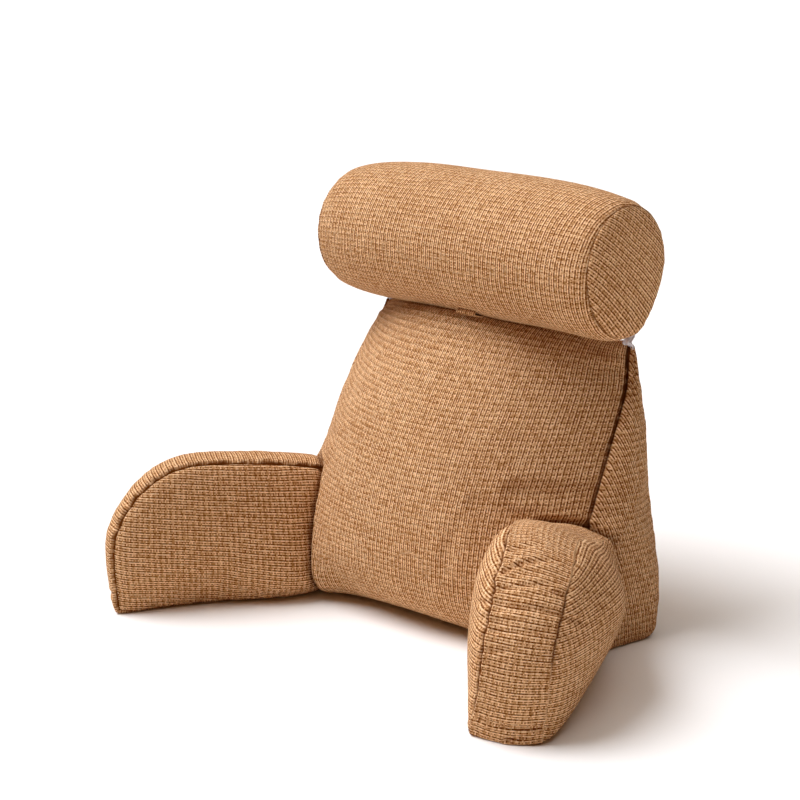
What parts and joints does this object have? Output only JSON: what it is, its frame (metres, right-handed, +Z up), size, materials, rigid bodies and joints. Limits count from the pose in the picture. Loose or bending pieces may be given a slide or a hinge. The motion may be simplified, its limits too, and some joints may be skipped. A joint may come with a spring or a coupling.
{
  "type": "backrest pillow with arms and neck roll",
  "caption": "Stuffed cloth backrest pillow for sitting up in bed: a full-bellied wedge with two stuffed arms and a round neck roll tied on top.",
  "frame": {"origin": "middle of the wedge's flat underside, on the surface that it stands on", "axes": "+X to the right as seen by someone who faces the belly, +Y towards the back of the wedge, +Z up"},
  "size_m": [0.7248, 0.5028, 0.5728],
  "materials": {
    "cover_cloth": "coarse linen-look weave in a small tan and brown check, matt",
    "white_ribbon": "thin white ribbon with a slight sheen"
  },
  "bodies": {
    "root": {"wedge_front_and_back": "cover_cloth", "wedge_side_panel_left": "cover_cloth", "wedge_side_panel_right": "cover_cloth", "arm_left_inner_panel": "cover_cloth", "arm_left_boxing_strip": "cover_cloth", "arm_left_outer_panel": "cover_cloth", "arm_right_inner_panel": "cover_cloth", "arm_right_boxing_strip": "cover_cloth", "arm_right_outer_panel": "cover_cloth", "roll_tube": "cover_cloth", "roll_end_panel_left": "cover_cloth", "roll_end_panel_right": "cover_cloth", "roll_strap": "cover_cloth", "roll_ribbon_left": "white_ribbon", "roll_ribbon_right": "white_ribbon"}
  },
  "joints": []
}
